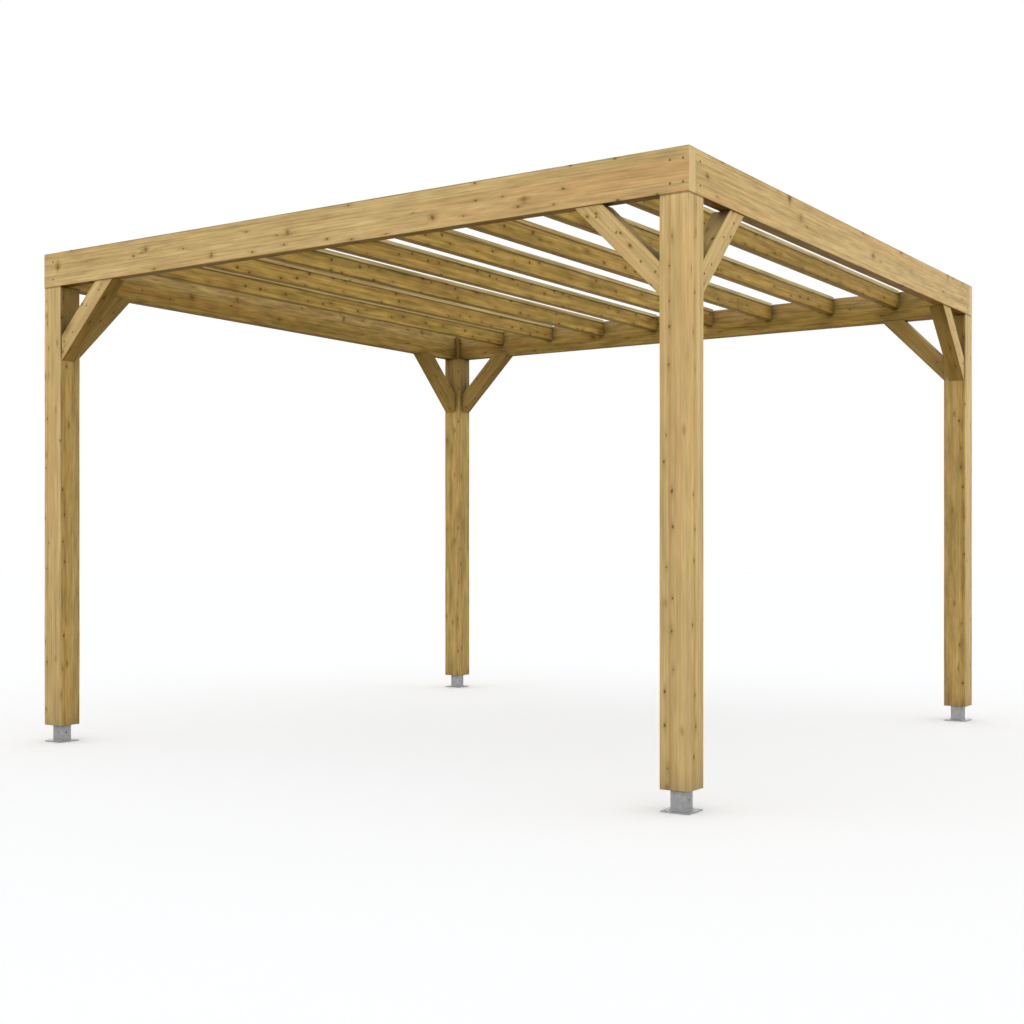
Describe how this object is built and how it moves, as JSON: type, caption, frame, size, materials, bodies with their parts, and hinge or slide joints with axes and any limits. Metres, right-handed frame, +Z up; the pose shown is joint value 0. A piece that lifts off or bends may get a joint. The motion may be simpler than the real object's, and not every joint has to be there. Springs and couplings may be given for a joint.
{
  "type": "timber garden pergola",
  "caption": "Free-standing timber pergola: square posts on steel feet, a ring of beams on edge, open rafters and short corner braces; shades a seat or path.",
  "frame": {"origin": "middle of the plan at ground level, under the base plates", "axes": "+Z up, +X along the front beam to the right, -Y out of the front; the rafters run along Y"},
  "size_m": [3.54, 3.44, 2.408],
  "materials": {
    "post_timber": "planed, pressure-treated softwood",
    "beam_timber": "planed, pressure-treated softwood",
    "rafter_timber": "planed, pressure-treated softwood",
    "lath_timber": "planed, pressure-treated softwood",
    "brace_timber": "planed, pressure-treated softwood",
    "batten_timber": "planed, pressure-treated softwood",
    "galvanised_steel": "hot-dip galvanised, matt grey"
  },
  "bodies": {
    "root": {"post_front_right": "post_timber", "post_front_left": "post_timber", "post_back_left": "post_timber", "post_back_right": "post_timber", "beam_front": "beam_timber", "beam_back": "beam_timber", "beam_left": "beam_timber", "beam_right": "beam_timber", "rafter_1": "rafter_timber", "rafter_2": "rafter_timber", "rafter_3": "rafter_timber", "rafter_4": "rafter_timber", "rafter_5": "rafter_timber", "rafter_6": "rafter_timber", "rafter_7": "rafter_timber", "rafter_8": "rafter_timber", "lath_1": "lath_timber", "lath_2": "lath_timber", "lath_3": "lath_timber", "lath_4": "lath_timber", "lath_5": "lath_timber", "lath_6": "lath_timber", "lath_7": "lath_timber", "lath_8": "lath_timber", "brace_x_front_right": "brace_timber", "brace_y_front_right": "brace_timber", "brace_x_front_left": "brace_timber", "brace_y_front_left": "brace_timber", "brace_x_back_left": "brace_timber", "brace_y_back_left": "brace_timber", "brace_x_back_right": "brace_timber", "brace_y_back_right": "brace_timber", "batten_front_right": "batten_timber", "batten_front_left": "batten_timber", "batten_back_left": "batten_timber", "batten_back_right": "batten_timber", "foot_front_right": "galvanised_steel", "foot_front_left": "galvanised_steel", "foot_back_left": "galvanised_steel", "foot_back_right": "galvanised_steel"}
  },
  "joints": []
}
